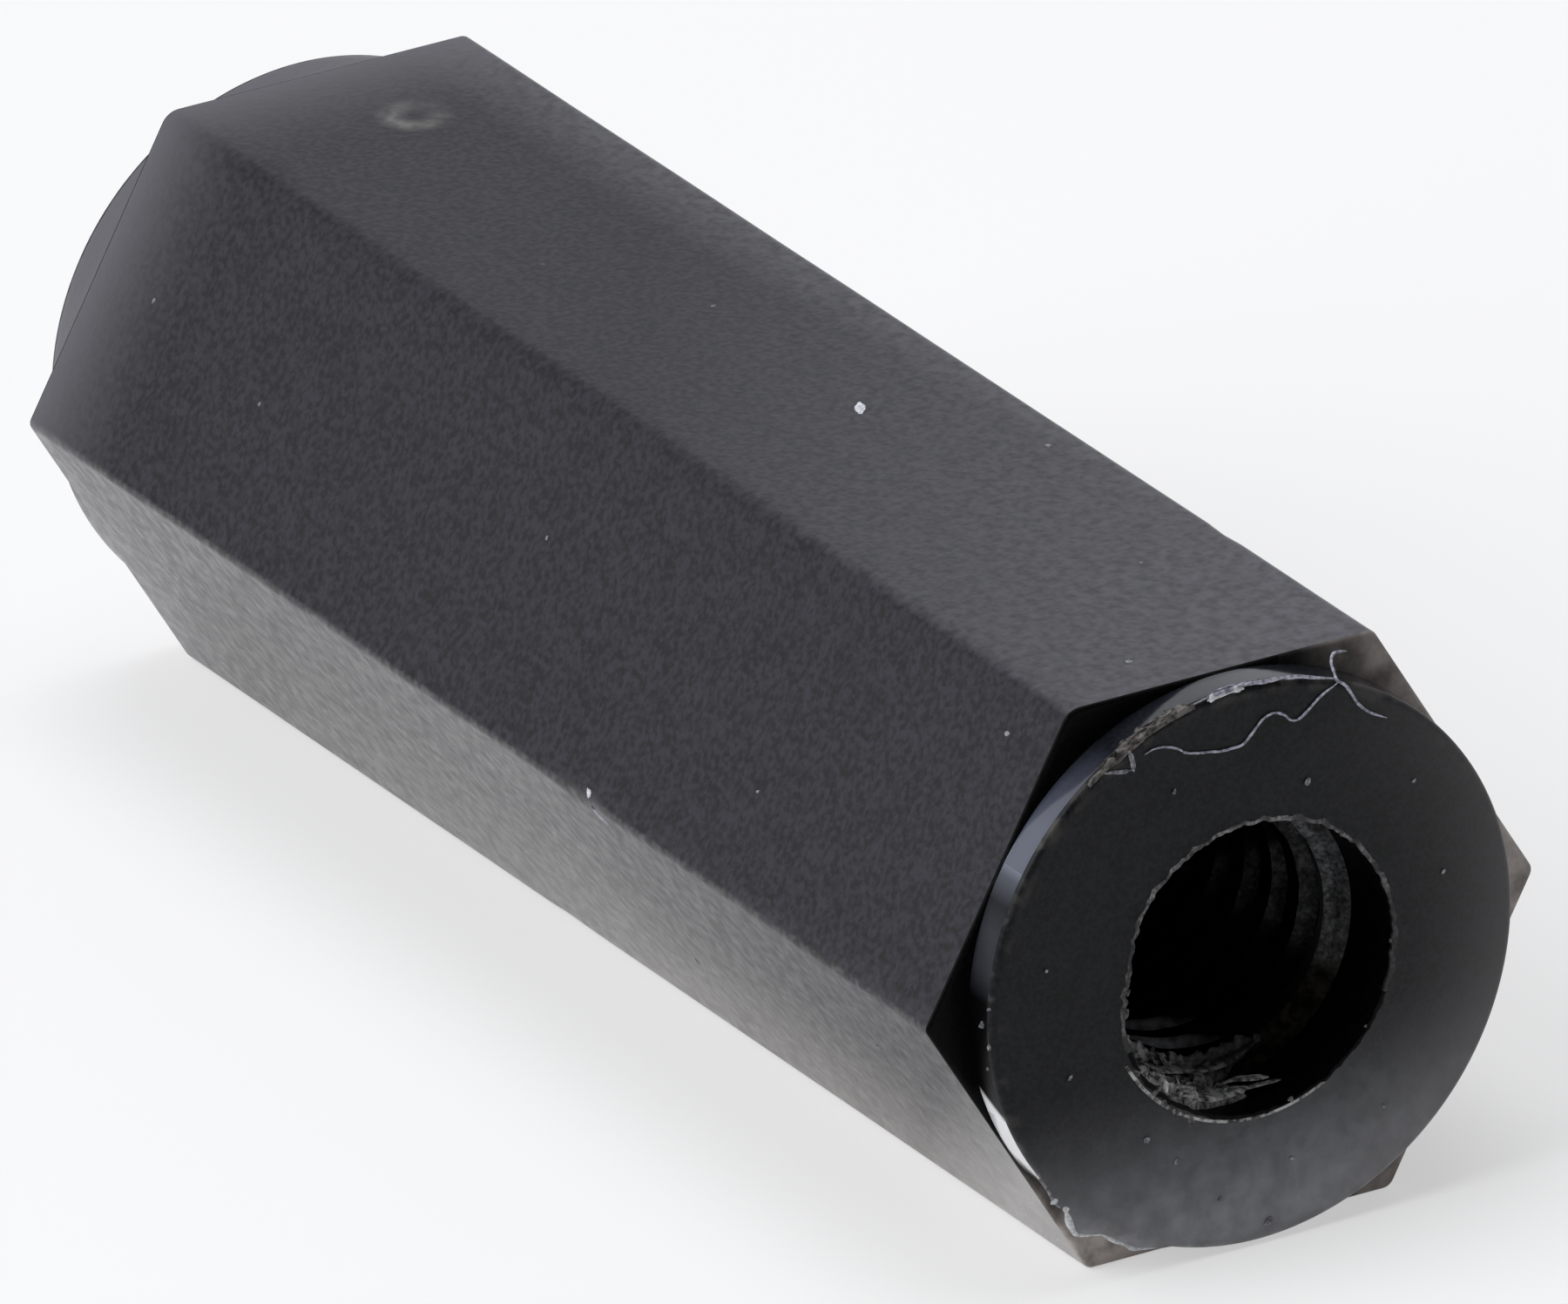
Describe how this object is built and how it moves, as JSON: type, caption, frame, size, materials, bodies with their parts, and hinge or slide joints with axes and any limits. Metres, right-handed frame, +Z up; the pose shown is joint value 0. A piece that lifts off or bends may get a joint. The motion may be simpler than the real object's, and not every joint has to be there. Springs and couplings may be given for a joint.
{
  "type": "hexagonal threaded spacer",
  "caption": "Black nylon hexagonal spacer with a short round shoulder and a female-threaded bore at each end.",
  "frame": {"origin": "middle of the flat that the spacer lies on, halfway along its length", "axes": "+X along the thread axis, out of one of the two like ends; +Z up, away from the flat it lies on; +Y completes a right-handed frame, towards two of the long edges"},
  "size_m": [0.025, 0.0092, 0.008],
  "materials": {
    "nylon": "matt moulded nylon, near black, with a fine speckled grain"
  },
  "bodies": {
    "root": {"hex_spacer": "nylon"}
  },
  "joints": []
}
